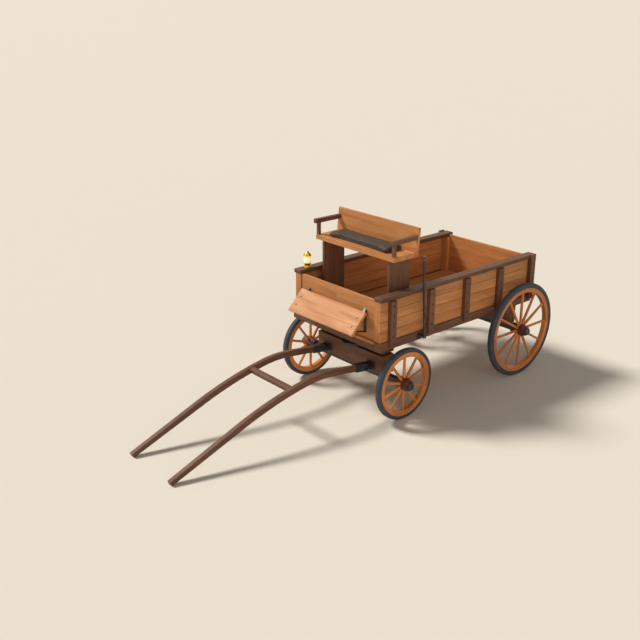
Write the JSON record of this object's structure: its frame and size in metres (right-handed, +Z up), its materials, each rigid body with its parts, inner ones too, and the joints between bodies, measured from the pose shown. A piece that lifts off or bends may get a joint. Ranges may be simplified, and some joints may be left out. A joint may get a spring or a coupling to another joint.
{
  "type": "horse-drawn farm wagon",
  "caption": "Light farm wagon for one horse: open plank box with a driver's bench, steered front axle, hinged shafts and a drop tailgate.",
  "frame": {"origin": "on the ground under the middle of the whole wagon, parked with its shafts down", "axes": "+Z up, -Y the way the wagon travels, +X its left side"},
  "size_m": [1.796, 4.7853, 1.892],
  "materials": {
    "light_wood": "oiled light timber",
    "dark_wood": "dark stained timber",
    "wheel_wood": "varnished",
    "hub_wood": "red-brown stained",
    "grip_wood": "turned and varnished",
    "tyre": "solid rubber, matt blue-grey",
    "iron": "blackened forged iron",
    "brass": "polished",
    "lamp_glass": "frosted, lit",
    "cushion_leather": "dark, soft"
  },
  "bodies": {
    "wagon_body": {"floor_boards": "light_wood", "side_sills": "dark_wood", "cross_sills": "dark_wood", "left_side_boards": "light_wood", "right_side_boards": "light_wood", "side_posts": "dark_wood", "top_rails": "dark_wood", "corner_cleats": "light_wood", "front_panel": "light_wood", "footboard": "light_wood", "footboard_brackets": "iron", "seat_risers": "dark_wood", "seat_board": "light_wood", "seat_back": "light_wood", "armrests": "dark_wood", "seat_cushion": "cushion_leather", "lantern_metal": "brass", "lantern_glass": "lamp_glass", "brake_lever": "iron", "brake_grip": "grip_wood", "brake_bracket": "iron", "front_bolster": "dark_wood", "turntable_top": "iron", "rear_bolster": "dark_wood", "rear_axle": "iron", "reach_pole": "dark_wood", "hinge_brackets": "iron"},
    "front_carriage": {"turntable_bottom": "iron", "axle_bed": "dark_wood", "front_axle": "iron", "shaft_couplings": "iron"},
    "shafts": {"left_shaft": "dark_wood", "right_shaft": "dark_wood", "shaft_sockets": "iron", "shaft_crossbar": "dark_wood"},
    "tailgate": {"tailgate_panel": "light_wood", "tailgate_straps": "iron"},
    "front_left_wheel": {"front_left_tyre": "tyre", "front_left_rim": "wheel_wood", "front_left_spokes": "wheel_wood", "front_left_hub": "hub_wood", "front_left_hub_cap": "iron"},
    "front_right_wheel": {"front_right_tyre": "tyre", "front_right_rim": "wheel_wood", "front_right_spokes": "wheel_wood", "front_right_hub": "hub_wood", "front_right_hub_cap": "iron"},
    "rear_left_wheel": {"rear_left_tyre": "tyre", "rear_left_rim": "wheel_wood", "rear_left_spokes": "wheel_wood", "rear_left_hub": "hub_wood", "rear_left_hub_cap": "iron"},
    "rear_right_wheel": {"rear_right_tyre": "tyre", "rear_right_rim": "wheel_wood", "rear_right_spokes": "wheel_wood", "rear_right_hub": "hub_wood", "rear_right_hub_cap": "iron"}
  },
  "joints": [
    {"name": "steering", "type": "hinge", "parent": "wagon_body", "child": "front_carriage", "pos_m": [0, 0.10469, 0.62], "axis": [0, 0, 1], "range_deg": [-25, 25]},
    {"name": "shaft_hinge", "type": "hinge", "parent": "front_carriage", "child": "shafts", "pos_m": [0, -0.02531, 0.475], "axis": [-1, 0, 0], "range_deg": [0, 27.5]},
    {"name": "tailgate_hinge", "type": "hinge", "parent": "wagon_body", "child": "tailgate", "pos_m": [0, 2.20669, 0.853], "axis": [-1, 0, 0], "range_deg": [0, 180]},
    {"name": "front_left_wheel_spin", "type": "hinge", "parent": "front_carriage", "child": "front_left_wheel", "pos_m": [0.725, 0.10469, 0.375], "axis": [1, 0, 0], "continuous": true},
    {"name": "front_right_wheel_spin", "type": "hinge", "parent": "front_carriage", "child": "front_right_wheel", "pos_m": [-0.725, 0.10469, 0.375], "axis": [1, 0, 0], "continuous": true},
    {"name": "rear_left_wheel_spin", "type": "hinge", "parent": "wagon_body", "child": "rear_left_wheel", "pos_m": [0.786, 1.86269, 0.53], "axis": [1, 0, 0], "continuous": true},
    {"name": "rear_right_wheel_spin", "type": "hinge", "parent": "wagon_body", "child": "rear_right_wheel", "pos_m": [-0.786, 1.86269, 0.53], "axis": [1, 0, 0], "continuous": true}
  ]
}
